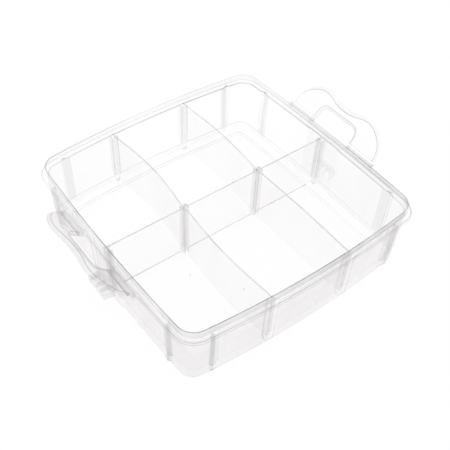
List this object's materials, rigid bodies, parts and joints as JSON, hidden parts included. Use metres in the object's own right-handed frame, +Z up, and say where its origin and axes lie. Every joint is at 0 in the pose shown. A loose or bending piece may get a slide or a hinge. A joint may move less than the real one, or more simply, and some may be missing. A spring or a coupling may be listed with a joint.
{
  "type": "stackable parts organizer tray",
  "caption": "Clear stackable parts organizer layer: square rimmed tray split into compartments by a slotted long divider and bowed short dividers, with a swinging latch on each side.",
  "frame": {"origin": "on the tray's vertical centre line, at the height of the flat the tray stands on, 1.6 mm under the flat underside of its floor", "axes": "+Z up; +X along the long divider from the left latch to the right latch; +Y from the front wall to the back wall"},
  "size_m": [0.2865, 0.241, 0.0801],
  "materials": {
    "clear_polypropylene": "natural clear moulded polypropylene, glossy with a faint haze"
  },
  "bodies": {
    "tray": {"tray": "clear_polypropylene"},
    "latch_left": {"latch_left": "clear_polypropylene"},
    "latch_right": {"latch_right": "clear_polypropylene"},
    "long_divider": {"long_divider": "clear_polypropylene"},
    "short_divider_back_left": {"short_divider_back_left": "clear_polypropylene"},
    "short_divider_back_right": {"short_divider_back_right": "clear_polypropylene"},
    "short_divider_front_left": {"short_divider_front_left": "clear_polypropylene"},
    "short_divider_front_right": {"short_divider_front_right": "clear_polypropylene"}
  },
  "joints": [
    {"name": "latch_left_hinge", "type": "hinge", "parent": "tray", "child": "latch_left", "pos_m": [-0.1214, 0, 0.0564], "axis": [0, 1, 0], "range_deg": [-122, 53]},
    {"name": "latch_right_hinge", "type": "hinge", "parent": "tray", "child": "latch_right", "pos_m": [0.1214, 0, 0.0564], "axis": [0, -1, 0], "range_deg": [-132, 43]},
    {"name": "long_divider_lift", "type": "slide", "parent": "tray", "child": "long_divider", "axis": [0, 0, 1], "range_m": [0, 0.065]},
    {"name": "short_divider_back_left_lift", "type": "slide", "parent": "tray", "child": "short_divider_back_left", "axis": [0, 0, 1], "range_m": [0, 0.065]},
    {"name": "short_divider_back_right_lift", "type": "slide", "parent": "tray", "child": "short_divider_back_right", "axis": [0, 0, 1], "range_m": [0, 0.065]},
    {"name": "short_divider_front_left_lift", "type": "slide", "parent": "tray", "child": "short_divider_front_left", "axis": [0, 0, 1], "range_m": [0, 0.065]},
    {"name": "short_divider_front_right_lift", "type": "slide", "parent": "tray", "child": "short_divider_front_right", "axis": [0, 0, 1], "range_m": [0, 0.065]}
  ]
}
